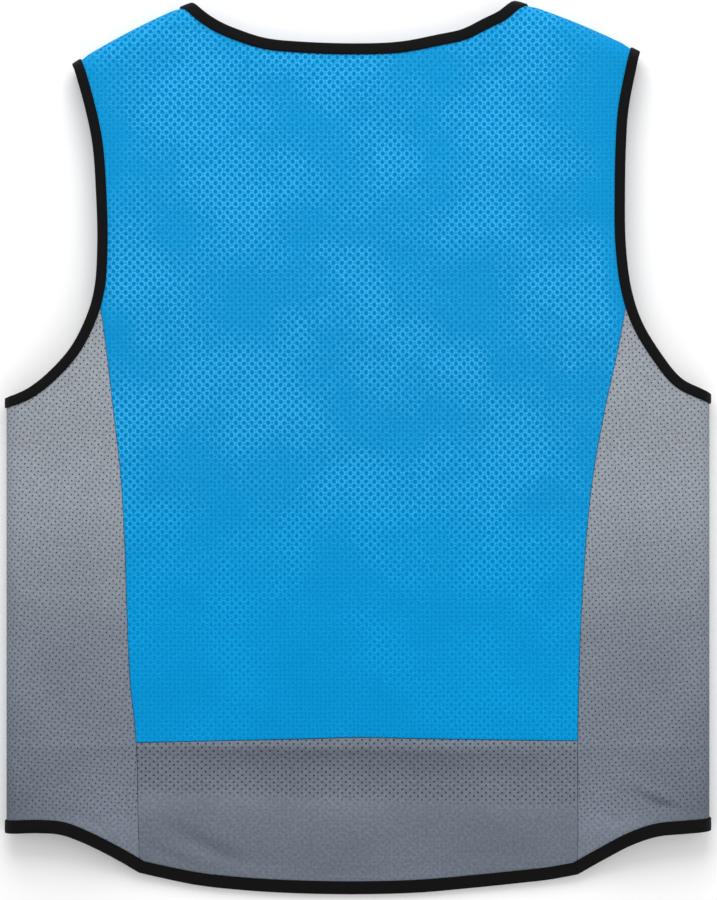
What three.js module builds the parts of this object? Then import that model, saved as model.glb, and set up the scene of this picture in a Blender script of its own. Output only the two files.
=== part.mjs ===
// Cooling vest lying flat, its front on the floor and its back up. Millimetres, +Z up.
// +X is the right of the vest as seen from above, +Y runs from the hem to the neck.
import * as THREE from 'three';

// Overall sizes of the laid cloth
const laidWidth = 537; // from side fold to side fold
const laidLength = 681.7; // from the highest shoulder point to the edge of the tail
const foldRadius = 11; // middle of the cloth round the side folds and over the shoulders
const crownHeight = 4; // swelling of the back over the hollow

// Cloth, tape and the gaps between pieces
const padThickness = 3.4; // blue honeycomb cloth
const pressedThickness = 1.8; // blue cloth where the tape presses it
const pressedTaper = 7; // width over which it swells to its full thickness
const meshThickness = 1.8; // grey perforated mesh
const tapeThickness = 0.9;
const tapeClearance = 0.7;
const seamGap = 0.3;
const neckTapeWidth = 8;
const armholeTapeWidth = 7.6;
const hemTapeWidth = 9.4;

// The hidden front
const frontNeckDepth = 96; // from the shoulder line to the middle of the front neck
const frontArmholeCut = 12; // how much deeper the front armhole is cut
const frontSettle = 40; // distance from the taped edges over which the front sinks to the floor

const blue = { color: 0x1a98d8, roughness: 0.75, metalness: 0 };
const grey = { color: 0x7d838b, roughness: 0.8, metalness: 0 };
const black = { color: 0x121214, roughness: 0.7, metalness: 0 };

const halfWidth = laidWidth / 2;
const foldAxis = halfWidth - meshThickness / 2 - foldRadius;
const foldReach = foldRadius * (Math.PI / 2);
const foldTip = foldAxis + foldReach; // flat-pattern distance from the middle to the side fold
const tapeHalf = pressedThickness / 2 + tapeClearance + tapeThickness;
const middleHeight = tapeHalf + foldRadius; // height of the folds' axes

const named = (columns, rows) =>
  rows.map((row) => Object.fromEntries(columns.map((column, i) => [column, row[i]])));

// Tables: out is a share of half the laid width, down a share of the laid length
const sideColumns = ['leftOut', 'leftDown', 'rightOut', 'rightDown'];

const shoulderRows = named(sideColumns, [
  [0.811, 0.070, 0.800, 0.056], // tip
  [0.479, 0.002, 0.455, 0.000], // neck point
]);
const shoulderArch = 0.0035; // rise of the shoulder line between them, a share of the length

const armholeRows = named(sideColumns, [
  [0.811, 0.070, 0.800, 0.056], // shoulder tip
  [0.770, 0.121, 0.764, 0.121],
  [0.750, 0.160, 0.757, 0.160],
  [0.740, 0.211, 0.754, 0.211],
  [0.736, 0.272, 0.756, 0.272],
  [0.745, 0.323, 0.772, 0.322], // top of the side seam
  [0.770, 0.356, 0.801, 0.358],
  [0.818, 0.391, 0.850, 0.391],
  [0.902, 0.425, 0.913, 0.422],
  [0.959, 0.439, 0.964, 0.433],
  [1.000, 0.445, 1.000, 0.440], // underarm, at the fold
]);
const seamTopRow = 5;

const sideSeamRows = named(sideColumns, [
  [0.731, 0.343, 0.760, 0.343],
  [0.714, 0.390, 0.737, 0.390],
  [0.694, 0.457, 0.700, 0.457],
  [0.674, 0.524, 0.669, 0.524],
  [0.663, 0.592, 0.649, 0.592],
  [0.654, 0.693, 0.632, 0.693],
  [0.646, 0.760, 0.626, 0.760],
  [0.629, 0.829, 0.623, 0.827], // corner of the blue panel
]);

const neckRows = named(sideColumns, [
  [0.447, 0.010, 0.407, 0.011],
  [0.395, 0.024, 0.353, 0.022],
  [0.336, 0.034, 0.296, 0.033],
  [0.262, 0.043, 0.228, 0.039],
  [0.165, 0.047, 0.119, 0.047],
]);
const neckMiddle = { out: 0, down: 0.049 };

const lowerSeamRows = named(sideColumns, [
  [0.393, 0.827, 0.404, 0.826],
  [0.165, 0.825, 0.233, 0.825],
]);
const lowerSeamMiddle = { out: 0, down: 0.823 };

const sideHemRows = named(sideColumns, [
  [1.000, 0.930, 1.000, 0.927], // at the fold
  [0.905, 0.929, 0.922, 0.930],
  [0.842, 0.931, 0.848, 0.933],
  [0.785, 0.939, 0.780, 0.942],
  [0.706, 0.955, 0.706, 0.958],
  [0.623, 0.975, 0.626, 0.977], // at the side seam
]);

const tailRows = named(sideColumns, [
  [0.549, 0.982, 0.546, 0.983],
  [0.450, 0.990, 0.461, 0.987],
  [0.307, 0.996, 0.319, 0.993],
  [0.165, 0.999, 0.176, 0.998],
]);
const tailMiddle = { out: 0, down: 1 };

const frontHemRows = named(sideColumns, [
  [0.957, 0.928, 0.957, 0.925],
  [0.900, 0.914, 0.900, 0.912],
  [0.850, 0.901, 0.850, 0.901],
  [0.791, 0.893, 0.791, 0.894],
  [0.623, 0.891, 0.626, 0.892], // at the front side seam
]);
const frontHemMiddle = { out: 0, down: 0.894 };

// out is a share of the half width of the neck opening, down a share of the front neck's depth
const frontNeckRows = named(['out', 'down'], [
  [0.985, 0.300],
  [0.920, 0.580],
  [0.770, 0.800],
  [0.500, 0.945],
  [0.000, 1.000],
]);

// Folds of the back: across is a share of half the width, down, along and wide are shares of
// the length, turn is in degrees and rise is a share of the fold radius
const foldRows = named(['across', 'down', 'turn', 'along', 'wide', 'rise'], [
  [0.00, 0.866, 0, 0.300, 0.024, -0.28], // hollow below the blue panel
  [0.00, 0.835, 0, 0.320, 0.008, 0.08], // rolled seam
  [-0.50, 0.947, -32, 0.050, 0.011, 0.16], // folds at the lower left
  [-0.56, 0.928, -32, 0.040, 0.009, -0.10],
  [0.90, 0.897, -24, 0.045, 0.010, -0.14], // folds at the lower right
  [0.84, 0.909, -24, 0.045, 0.010, 0.12],
]);

// Cells of each stretch of the pieces' grids
const rollCells = 4;
const seamCells = 8;
const lowerSeamCells = 5;
const armholeCells = { '-1': 3, 1: 5 }; // below the yoke line, front and back
const strapCells = { '-1': 5, 1: 2 }; // between the yoke line and the shoulder roll
const neckCells = 8;
const underarmCells = 4;
const shoulderCells = 2;
const hemCells = { '-1': 10, 1: 16 };

const rollSteps = Array.from({ length: rollCells }, (_, i) => (foldReach * (i + 1)) / rollCells);
const foldSteps = [...rollSteps, foldReach + 0.7 * foldRadius];

function smooth(value) {
  const share = Math.min(1, Math.max(0, value));
  return share * share * (3 - 2 * share);
}

// Height on the sheet from a share of the length, with 0 at half the length
const levelOf = (down) => laidLength * (0.5 - down);

// The outline of one shoulder and the axis that the cloth rolls round there
function shoulderLine(side, across) {
  const name = side < 0 ? 'left' : 'right';
  const [tip, neck] = shoulderRows.map((row) => ({
    out: row[`${name}Out`] * halfWidth,
    level: levelOf(row[`${name}Down`]),
  }));
  const share = (tip.out - Math.abs(across)) / (tip.out - neck.out);
  const arch = shoulderArch * laidLength * 4 * share * (1 - share);
  return tip.level + (neck.level - tip.level) * share + arch;
}
function shoulderAxis(across) {
  return shoulderLine(Math.sign(across) || 1, across) - padThickness / 2 - foldRadius;
}

// Flat-pattern place of a point that is known as it is seen from above
function unroll({ across, up }) {
  const past = Math.abs(across) - foldAxis;
  const axis = shoulderAxis(across);
  const turned = (length) => foldRadius * Math.asin(Math.min(1, length / foldRadius));
  return {
    across: past > 0 ? Math.sign(across) * (foldAxis + turned(past)) : across,
    up: up > axis ? axis + turned(up - axis) : up,
  };
}

// The points of one side of a table; side is a sign, -1 for the left
function sidePoints(rows, side) {
  const name = side < 0 ? 'left' : 'right';
  return rows.map((row) =>
    unroll({ across: side * row[`${name}Out`] * halfWidth, up: levelOf(row[`${name}Down`]) }),
  );
}

// Side charts measure the flat pattern from the fold: round is positive on the back
const toRound = (point, layer) => ({ x: layer * (foldTip - Math.abs(point.across)), y: point.up });
const fromRound = (side) => (point) => ({
  layer: point.x < 0 ? -1 : 1,
  across: side * (foldTip - Math.abs(point.x)),
  up: point.y,
});
const toSheet = (point) => ({ x: point.across, y: point.up });
const fromSheet = (layer) => (point) => ({ layer, across: point.x, up: point.y });

// A smooth line through rows, cut into cells: steps are distances near its two ends
const lineSamples = 60;
function line(points, fromRow = 0, toRow = points.length - 1) {
  const curve = new THREE.CatmullRomCurve3(points.map((p) => new THREE.Vector3(p.x, p.y, 0)));
  const count = lineSamples * (toRow - fromRow);
  const share = (i) => (fromRow + ((toRow - fromRow) * i) / count) / (points.length - 1);
  return Array.from({ length: count + 1 }, (_, i) => curve.getPoint(share(i)));
}
function cut(samples, startSteps, cells, endSteps) {
  const travelled = [0];
  for (let i = 1; i < samples.length; i++) {
    travelled.push(travelled[i - 1] + samples[i].distanceTo(samples[i - 1]));
  }
  const length = travelled.at(-1);
  const first = startSteps.at(-1) ?? 0;
  const last = length - (endSteps.at(-1) ?? 0);
  const middle = [];
  for (let i = 1; i < cells; i++) middle.push(first + ((last - first) * i) / cells);
  const ends = endSteps.map((step) => length - step).reverse();
  return [0, ...startSteps, ...middle, ...ends, length].map((target) => {
    const i = Math.max(1, travelled.findIndex((value) => value >= target - 1e-9));
    const share = (target - travelled[i - 1]) / (travelled[i] - travelled[i - 1]);
    return samples[i - 1].clone().lerp(samples[i], share);
  });
}

// The edges of the back and the front in their flat patterns
const neckPoint = (side) => sidePoints([shoulderRows[1]], side)[0];
const across = (left, middle, right) => [...left, middle, ...right.toReversed()];

const backNeckPoints = across(
  [neckPoint(-1), ...sidePoints(neckRows, -1)],
  { across: neckMiddle.out, up: levelOf(neckMiddle.down) },
  [neckPoint(1), ...sidePoints(neckRows, 1)],
).map(toSheet);

function frontNeckSide(side) {
  const start = neckPoint(side);
  const opening = Math.abs(start.across);
  return [
    start,
    ...frontNeckRows.map((row) => ({
      across: side * opening * row.out,
      up: start.up - foldReach - row.down * (frontNeckDepth - foldRadius),
    })),
  ];
}
const frontNeckLeft = frontNeckSide(-1);
const frontNeckPoints = across(
  frontNeckLeft.slice(0, -1),
  frontNeckLeft.at(-1),
  frontNeckSide(1).slice(0, -1),
).map(toSheet);
const neckPoints = { '-1': frontNeckPoints, 1: backNeckPoints };
const neckTurnRow = 3; // where the neck line's flank meets its bottom
const yokeRow = { '-1': 3, 1: 1 }; // armhole row at the outer end of the yoke line

// One armhole from the back shoulder tip round the underarm to the front shoulder tip
function armholeRound(side) {
  const back = sidePoints(armholeRows, side);
  const front = back.map((point, row) => ({
    across: point.across - side * frontArmholeCut * Math.sin(Math.PI * Math.min(1, row / seamTopRow)),
    up: point.up,
  }));
  return [...back.map((p) => toRound(p, 1)), ...front.slice(0, -1).reverse().map((p) => toRound(p, -1))];
}
const armhole = { '-1': armholeRound(-1), 1: armholeRound(1) };
const lastArmholeRow = armhole[1].length - 1;

// Widths of the bands that lie under the tapes
const hemBand = hemTapeWidth + tapeClearance;
const armholeBand = armholeTapeWidth + tapeClearance;
const neckBand = neckTapeWidth + tapeClearance;

// The side seams from their corner of the blue panel up to the armhole, and down to the hem
function seamLines(side, layer) {
  const rows = sidePoints(sideSeamRows, side);
  const top = armhole[side][layer > 0 ? seamTopRow : lastArmholeRow - seamTopRow];
  const hem = sidePoints(layer > 0 ? sideHemRows : frontHemRows, side).at(-1);
  const points = [toRound(hem, layer), ...rows.reverse().map((p) => toRound(p, layer)), top];
  return {
    lower: cut(line(points, 0, 1), [hemBand], lowerSeamCells, []),
    upper: cut(line(points, 1, points.length - 1), [], seamCells, [armholeBand]),
  };
}

// The hem round one side, from the back seam over the fold to the front seam
function sideHem(side) {
  const back = sidePoints(sideHemRows, side).reverse().map((p) => toRound(p, 1));
  const front = sidePoints(frontHemRows, side).map((p) => toRound(p, -1));
  return [...back, ...front];
}

const middlePoint = (row) => ({ across: row.out * halfWidth, up: levelOf(row.down) });
const wholeLine = (rows, middle, ends) =>
  line(
    across(
      [ends[0], ...sidePoints(rows, -1)],
      middlePoint(middle),
      [ends[1], ...sidePoints(rows, 1)],
    ).map(toSheet),
  );
const cornersOf = (rows) => [sidePoints(rows, -1).at(-1), sidePoints(rows, 1).at(-1)];
const tailEdge = wholeLine(tailRows, tailMiddle, cornersOf(sideHemRows));
const frontHemEdge = wholeLine([], frontHemMiddle, cornersOf(frontHemRows));
const lowerSeam = wholeLine(lowerSeamRows, lowerSeamMiddle, cornersOf(sideSeamRows));

// Distance in the flat pattern from a point to the taped edges of its layer
const edgeSpacing = 12;
const thin = (samples) => samples.filter((_, i) => i % edgeSpacing === 0);
function layerEdges(layer) {
  const turnRow = sideHemRows.length - 1;
  const edges = [line(neckPoints[layer]), layer > 0 ? tailEdge : frontHemEdge];
  for (const side of [-1, 1]) {
    const sheet = fromRound(side);
    const half = lastArmholeRow / 2;
    const arm = layer > 0 ? line(armhole[side], 0, half) : line(armhole[side], half, lastArmholeRow);
    const hemPoints = sideHem(side);
    const hem = layer > 0 ? line(hemPoints, 0, turnRow) : line(hemPoints, turnRow, hemPoints.length - 1);
    edges.push(...[arm, hem].map((part) => part.map((p) => toSheet(sheet(p)))));
  }
  return edges.map(thin);
}
const tapedEdges = { '-1': layerEdges(-1), 1: layerEdges(1) };
function edgeDistance(layer, place) {
  let nearest = Infinity;
  for (const edge of tapedEdges[layer]) {
    for (let i = 1; i < edge.length; i++) {
      const dx = edge[i].x - edge[i - 1].x;
      const dy = edge[i].y - edge[i - 1].y;
      const px = place.across - edge[i - 1].x;
      const py = place.up - edge[i - 1].y;
      const share = Math.min(1, Math.max(0, (px * dx + py * dy) / (dx * dx + dy * dy)));
      nearest = Math.min(nearest, Math.hypot(px - share * dx, py - share * dy));
    }
  }
  return nearest;
}

// Level below which the back hangs past the front hem, and how far the tail reaches past it
const tailOut = 0.6; // share of half the width past which that level drops to the side hem
function hangLevel(x) {
  const side = x < 0 ? 'left' : 'right';
  const drop = sideHemRows[0][`${side}Down`] - frontHemMiddle.down;
  const outward = (Math.abs(x) - tailOut * halfWidth) / (foldAxis - tailOut * halfWidth);
  return levelOf(frontHemMiddle.down + drop * smooth(outward));
}
const tailReach = laidLength * (tailMiddle.down - frontHemMiddle.down);

function backRelief(place, x, y) {
  const down = 0.5 - y / laidLength;
  const wide = 1 - Math.min(1, (x / halfWidth) ** 2);
  let height = crownHeight * wide * smooth(down / 0.25) * smooth((0.93 - down) / 0.2);
  const free = smooth((edgeDistance(1, place) - 1.5 * hemBand) / hemBand);
  for (const row of foldRows) {
    const turn = (row.turn * Math.PI) / 180;
    const dx = x - row.across * halfWidth;
    const dy = y - levelOf(row.down);
    const alongFold = (dx * Math.cos(turn) + dy * Math.sin(turn)) / (row.along * laidLength);
    const acrossFold = (dy * Math.cos(turn) - dx * Math.sin(turn)) / (row.wide * laidLength);
    height += free * row.rise * foldRadius * Math.exp(-(alongFold ** 2) - acrossFold ** 2);
  }
  const past = (hangLevel(x) - y) / tailReach;
  return height - (middleHeight + foldRadius - tapeHalf) * smooth(past);
}
const frontSink = tapeHalf - padThickness / 2;
function frontRelief(place) {
  const settled = (edgeDistance(-1, place) - 1.5 * hemBand) / frontSettle;
  return -frontSink * smooth(settled);
}

// The middle of the cloth at a place of a layer's flat pattern
function lift(place) {
  const side = Math.sign(place.across) || 1;
  const pastFold = Math.max(0, Math.abs(place.across) - foldAxis);
  const pastShoulder = Math.max(0, place.up - shoulderAxis(place.across));
  const foldTurn = pastFold / foldRadius;
  const shoulderTurn = pastShoulder / foldRadius;
  const x = place.across + side * (foldRadius * Math.sin(foldTurn) - pastFold);
  const y = place.up + foldRadius * Math.sin(shoulderTurn) - pastShoulder;
  const level = Math.cos(foldTurn) * Math.cos(shoulderTurn);
  const relief = place.layer > 0 ? backRelief(place, x, y) : frontRelief(place);
  const z = middleHeight + place.layer * foldRadius * level + relief * Math.max(0, level);
  return new THREE.Vector3(x, y, z);
}

// Slopes of the cloth at a place, with the normal that points out of the vest
const nudge = 0.05;
function slopes(place) {
  const step = (dAcross, dUp) =>
    lift({ layer: place.layer, across: place.across + dAcross, up: place.up + dUp });
  const right = step(nudge, 0).sub(step(-nudge, 0)).divideScalar(2 * nudge);
  const upward = step(0, nudge).sub(step(0, -nudge)).divideScalar(2 * nudge);
  const normal = right.clone().cross(upward).normalize().multiplyScalar(place.layer);
  return { right, upward, normal };
}

// The flat-pattern step that leads one millimetre along a direction in the cloth
function patternStep({ right, upward }, direction) {
  const a = right.dot(right);
  const b = right.dot(upward);
  const c = upward.dot(upward);
  const p = right.dot(direction);
  const q = upward.dot(direction);
  const scale = a * c - b * b;
  return { across: (p * c - q * b) / scale, up: (q * a - p * b) / scale };
}

// A closed body from vertices and faces, turned so that its faces point out
function body(vertices, faces) {
  let volume = 0;
  for (const [a, b, c] of faces) {
    volume += vertices[a].dot(vertices[b].clone().cross(vertices[c]));
  }
  const geometry = new THREE.BufferGeometry();
  const flat = vertices.flatMap((v) => v.toArray());
  geometry.setAttribute('position', new THREE.Float32BufferAttribute(flat, 3));
  geometry.setIndex(faces.flatMap(([a, b, c]) => (volume > 0 ? [a, b, c] : [a, c, b])));
  geometry.computeVertexNormals();
  return geometry;
}

// A patch between four lines of points: bottom and top run along, left and right run up
function patch(bottom, top, left, right) {
  const shares = (points) => {
    const travelled = [0];
    for (let i = 1; i < points.length; i++) {
      travelled.push(travelled[i - 1] + points[i].distanceTo(points[i - 1]));
    }
    return travelled.map((value) => value / travelled.at(-1));
  };
  const mean = (a, b) => a.map((value, i) => (value + b[i]) / 2);
  const alongShares = mean(shares(bottom), shares(top));
  const upShares = mean(shares(left), shares(right));
  const mix = (a, b, share) => a.clone().lerp(b, share);
  return upShares.map((v, j) =>
    alongShares.map((u, i) => {
      const ruledUp = mix(bottom[i], top[i], v);
      const ruledAlong = mix(left[j], right[j], u);
      const corners = mix(mix(bottom[0], bottom.at(-1), u), mix(top[0], top.at(-1), u), v);
      return ruledUp.add(ruledAlong).sub(corners);
    }),
  );
}

// Moves the sewn edges of a patch inwards by half the seam gap
function drawIn(grid, sewn) {
  const rows = grid.length;
  const columns = grid[0].length;
  const moved = grid.map((row) => row.map((point) => point.clone()));
  const shift = (j, i, toward, along) => {
    const inward = toward.clone().sub(grid[j][i]).normalize();
    const edge = along.clone().normalize();
    const slant = Math.abs(inward.x * edge.y - inward.y * edge.x);
    moved[j][i].addScaledVector(inward, seamGap / 2 / slant);
  };
  const clampRow = (j) => Math.min(rows - 1, Math.max(0, j));
  const clampColumn = (i) => Math.min(columns - 1, Math.max(0, i));
  for (let j = 0; j < rows; j++) {
    const edge = (i) => grid[clampRow(j + 1)][i].clone().sub(grid[clampRow(j - 1)][i]);
    if (sewn.left) shift(j, 0, grid[j][1], edge(0));
    if (sewn.right) shift(j, columns - 1, grid[j][columns - 2], edge(columns - 1));
  }
  for (let i = 0; i < columns; i++) {
    const edge = (j) => grid[j][clampColumn(i + 1)].clone().sub(grid[j][clampColumn(i - 1)]);
    if (sewn.bottom) shift(0, i, grid[1][i], edge(0));
    if (sewn.top) shift(rows - 1, i, grid[rows - 2][i], edge(rows - 1));
  }
  return moved;
}

const mergeDistance = 0.01;

// The two faces and the rim of a piece of cloth made of patches that share their common edges
function cloth(patches, placeOf, thicknessAt) {
  const middles = [];
  const known = new Map();
  const indexOf = (point) => {
    const key = [point.x, point.y].map((v) => Math.round(v / mergeDistance + 0.137)).join(' ');
    if (!known.has(key)) known.set(key, middles.push(point) - 1);
    return known.get(key);
  };
  const cells = patches.flatMap((grid) => {
    const indices = grid.map((row) => row.map(indexOf));
    const quads = [];
    for (let j = 1; j < grid.length; j++) {
      for (let i = 1; i < grid[0].length; i++) {
        quads.push([indices[j - 1][i - 1], indices[j - 1][i], indices[j][i], indices[j][i - 1]]);
      }
    }
    return quads;
  });
  const faceAt = (sign) =>
    middles.map((point) => {
      const place = placeOf(point);
      return lift(place).addScaledVector(slopes(place).normal, (sign * thicknessAt(place)) / 2);
    });
  const count = middles.length;
  const faces = [];
  const edges = new Set(cells.flatMap((cell) => cell.map((a, k) => `${a} ${cell[(k + 1) % 4]}`)));
  for (const [a, b, c, d] of cells) {
    faces.push([a, b, c], [a, c, d]);
    faces.push([count + a, count + c, count + b], [count + a, count + d, count + c]);
  }
  for (const edge of edges) {
    const [a, b] = edge.split(' ').map(Number);
    if (edges.has(`${b} ${a}`)) continue;
    faces.push([b, a, count + a], [b, count + a, count + b]);
  }
  return body([...faceAt(1), ...faceAt(-1)], faces);
}

// Tape folded over a closed edge of the cloth
function tape(places, width) {
  const inner = pressedThickness / 2 + tapeClearance;
  const nose = tapeClearance + tapeThickness;
  const section = [
    [width, tapeHalf], [width / 2, tapeHalf], [-tapeClearance, tapeHalf], [-nose, 0],
    [-tapeClearance, -tapeHalf], [width / 2, -tapeHalf], [width, -tapeHalf], [width, -inner],
    [width / 2, -inner], [-tapeClearance, -inner], [-tapeClearance, inner], [width / 2, inner],
    [width, inner],
  ];
  const middles = places.map(lift);
  const vertices = places.flatMap((place, i) => {
    const next = middles[(i + 1) % places.length];
    const before = middles[(i + places.length - 1) % places.length];
    const frame = slopes(place);
    const tangent = next.clone().sub(before).normalize();
    const inward = frame.normal.clone().cross(tangent).normalize();
    const step = patternStep(frame, inward);
    return section.map(([depth, height]) => {
      const under = {
        layer: place.layer,
        across: place.across + step.across * depth,
        up: place.up + step.up * depth,
      };
      if (depth > 0) return lift(under).addScaledVector(slopes(under).normal, height);
      return middles[i].clone().addScaledVector(inward, depth).addScaledVector(frame.normal, height);
    });
  });
  const faces = [];
  const size = section.length;
  places.forEach((_, i) => {
    const here = i * size;
    const there = ((i + 1) % places.length) * size;
    for (let k = 0; k < size; k++) {
      const other = (k + 1) % size;
      faces.push([here + k, there + k, there + other], [here + k, there + other, here + other]);
    }
  });
  return body(vertices, faces);
}

const widestBand = Math.max(neckBand, armholeBand);
const padAt = (place) => {
  const swell = smooth((edgeDistance(place.layer, place) - widestBand) / pressedTaper);
  return pressedThickness + (padThickness - pressedThickness) * swell;
};
const meshAt = () => meshThickness;

// The sewn shoulder line between the armhole and the neck, in the flat pattern
const bandSteps = [widestBand, widestBand + pressedTaper];
function shoulderSeam(side, layer) {
  const tip = fromRound(side)(armhole[side][layer > 0 ? 0 : lastArmholeRow]);
  const start = Math.abs(tip.across);
  const end = Math.abs(neckPoint(side).across);
  const samples = Array.from({ length: lineSamples + 1 }, (_, i) => {
    const x = side * (start + ((end - start) * i) / lineSamples);
    return new THREE.Vector3(x, shoulderAxis(x) + foldReach, 0);
  });
  return cut(samples, bandSteps, shoulderCells, bandSteps);
}

const sheetPoint = (side) => (point) => {
  const { across: x, up } = fromRound(side)(point);
  return new THREE.Vector3(x, up, 0);
};

// The seams and edges of each layer, all in its flat pattern
function layerPlan(layer) {
  const plan = { layer, side: {} };
  const neck = neckPoints[layer];
  const lastNeckRow = neck.length - 1;
  plan.neckBottom = cut(line(neck, neckTurnRow, lastNeckRow - neckTurnRow), [], neckCells, []);
  for (const side of [-1, 1]) {
    const row = (index) => (layer > 0 ? index : lastArmholeRow - index);
    const stretch = (low, high) => {
      const samples = line(armhole[side], Math.min(row(low), row(high)), Math.max(row(low), row(high)));
      return layer > 0 ? samples.reverse() : samples;
    };
    const low = cut(stretch(seamTopRow, yokeRow[layer]), [], armholeCells[layer], bandSteps.slice());
    const high = cut(stretch(yokeRow[layer], 0), [], strapCells[layer], rollSteps);
    const flankRows = side < 0 ? [0, neckTurnRow] : [lastNeckRow - neckTurnRow, lastNeckRow];
    const flankSamples = line(neck, ...flankRows);
    const fromTurn = side < 0 ? flankSamples.reverse() : flankSamples;
    const flank = cut(fromTurn, [], strapCells[layer], rollSteps);
    const seams = seamLines(side, layer);
    const shoulder = shoulderSeam(side, layer);
    const yokeLine = line([low.map(sheetPoint(side)).at(-1), flank[0]]);
    plan.side[side] = {
      seams,
      armholeLow: low.map(sheetPoint(side)),
      armholeHigh: high.map(sheetPoint(side)),
      flank,
      shoulder,
      yoke: cut(yokeLine, bandSteps, shoulderCells, bandSteps),
      upper: seams.upper.map(sheetPoint(side)),
      lower: seams.lower.map(sheetPoint(side)),
    };
  }
  plan.hem = cut(layer > 0 ? tailEdge : frontHemEdge, [], hemCells[layer], []);
  return plan;
}
const back = layerPlan(1);
const front = layerPlan(-1);

const joined = (...lines) => lines.flatMap((points, i) => (i ? points.slice(1) : points));

// A blue panel: the body from the lower seam to the yoke line, and a strap up to each shoulder
function bluePanel(plan) {
  const [left, right] = [plan.side[-1], plan.side[1]];
  const top = joined(left.yoke, plan.neckBottom, right.yoke.toReversed());
  const middleCells = top.length - 1 - 2 * bandSteps.length;
  const bottom = cut(lowerSeam, bandSteps, middleCells, bandSteps);
  const leftEdge = joined(left.upper, left.armholeLow);
  const rightEdge = joined(right.upper, right.armholeLow);
  const main = drawIn(patch(bottom, top, leftEdge, rightEdge), { bottom: true });
  for (const row of main.slice(0, left.upper.length)) {
    row[0].x += seamGap / 2;
    row.at(-1).x -= seamGap / 2;
  }
  const straps = [left, right].map((part) =>
    drawIn(patch(part.yoke, part.shoulder, part.armholeHigh, part.flank), { top: true }),
  );
  return cloth([main, straps[0], straps[1].map((row) => row.toReversed())], fromSheet(plan.layer), padAt);
}

// A grey panel from the hem to the lower seam
function greyPanel(plan) {
  const [left, right] = [plan.side[-1], plan.side[1]];
  const top = cut(lowerSeam, [], plan.hem.length - 1, []);
  const grid = patch(plan.hem, top, left.lower, right.lower);
  return cloth([drawIn(grid, { left: true, right: true, top: true })], fromSheet(plan.layer), meshAt);
}

// The parts of a side's armhole and hem between its back seam and its front seam
function roundSide(rows, lowRow, turnRow, highRow) {
  const toFold = cut(line(rows, lowRow, turnRow), [], underarmCells, foldSteps);
  const fromFold = cut(line(rows, turnRow, highRow), foldSteps, underarmCells, []);
  return joined(toFold, fromFold);
}
function sideEdges(side) {
  const hemPoints = sideHem(side);
  const turn = lastArmholeRow / 2;
  return {
    hem: roundSide(hemPoints, 0, sideHemRows.length - 1, hemPoints.length - 1),
    armhole: roundSide(armhole[side], seamTopRow, turn, lastArmholeRow - seamTopRow),
  };
}
const roundEdges = { '-1': sideEdges(-1), 1: sideEdges(1) };

// A grey side panel from the back seam round the fold to the front seam
function sidePanel(side) {
  const seam = (plan) => joined(plan.side[side].seams.lower, plan.side[side].seams.upper);
  const { hem, armhole: underarm } = roundEdges[side];
  const grid = patch(hem, underarm, seam(back), seam(front));
  return cloth([drawIn(grid, { left: true, right: true })], fromRound(side), meshAt);
}

// Closed loops of places along the taped edges, each with the cloth on its left
const places = (points, placeOf) => points.map(placeOf);
const neckLine = (plan) => joined(plan.side[-1].flank.toReversed(), plan.neckBottom, plan.side[1].flank);
const neckLoop = [
  ...places(neckLine(back).toReversed(), fromSheet(1)),
  ...places(neckLine(front).slice(1, -1), fromSheet(-1)),
];
function armholeLoop(side) {
  const edge = (plan) => joined(plan.side[side].armholeLow, plan.side[side].armholeHigh);
  const down = edge(back).toReversed();
  const under = roundEdges[side].armhole.slice(1, -1);
  const loop = [
    ...places(down, fromSheet(1)),
    ...places(under, fromRound(side)),
    ...places(edge(front).slice(0, -1), fromSheet(-1)),
  ];
  return side < 0 ? loop : loop.reverse();
}
const hemLoop = [
  ...places(back.hem, fromSheet(1)),
  ...places(roundEdges[1].hem.slice(1, -1), fromRound(1)),
  ...places(front.hem.toReversed(), fromSheet(-1)),
  ...places(roundEdges[-1].hem.slice(1, -1).toReversed(), fromRound(-1)),
];

const vest = new THREE.Group();
function add(name, geometry, finish) {
  const mesh = new THREE.Mesh(geometry, new THREE.MeshStandardMaterial(finish));
  mesh.name = name;
  vest.add(mesh);
}

add('back_panel', bluePanel(back), blue);
add('front_panel', bluePanel(front), blue);
add('lower_back_panel', greyPanel(back), grey);
add('lower_front_panel', greyPanel(front), grey);
add('side_panel_left', sidePanel(-1), grey);
add('side_panel_right', sidePanel(1), grey);
add('neck_binding', tape(neckLoop, neckTapeWidth), black);
add('armhole_binding_left', tape(armholeLoop(-1), armholeTapeWidth), black);
add('armhole_binding_right', tape(armholeLoop(1), armholeTapeWidth), black);
add('hem_binding', tape(hemLoop, hemTapeWidth), black);

// The origin is at the middle of the vest on the floor
const box = new THREE.Box3().setFromObject(vest);
const middle = box.getCenter(new THREE.Vector3());
vest.position.set(-middle.x, -middle.y, -box.min.z);
vest.updateMatrixWorld(true);

export default vest;
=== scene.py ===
import math

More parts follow.
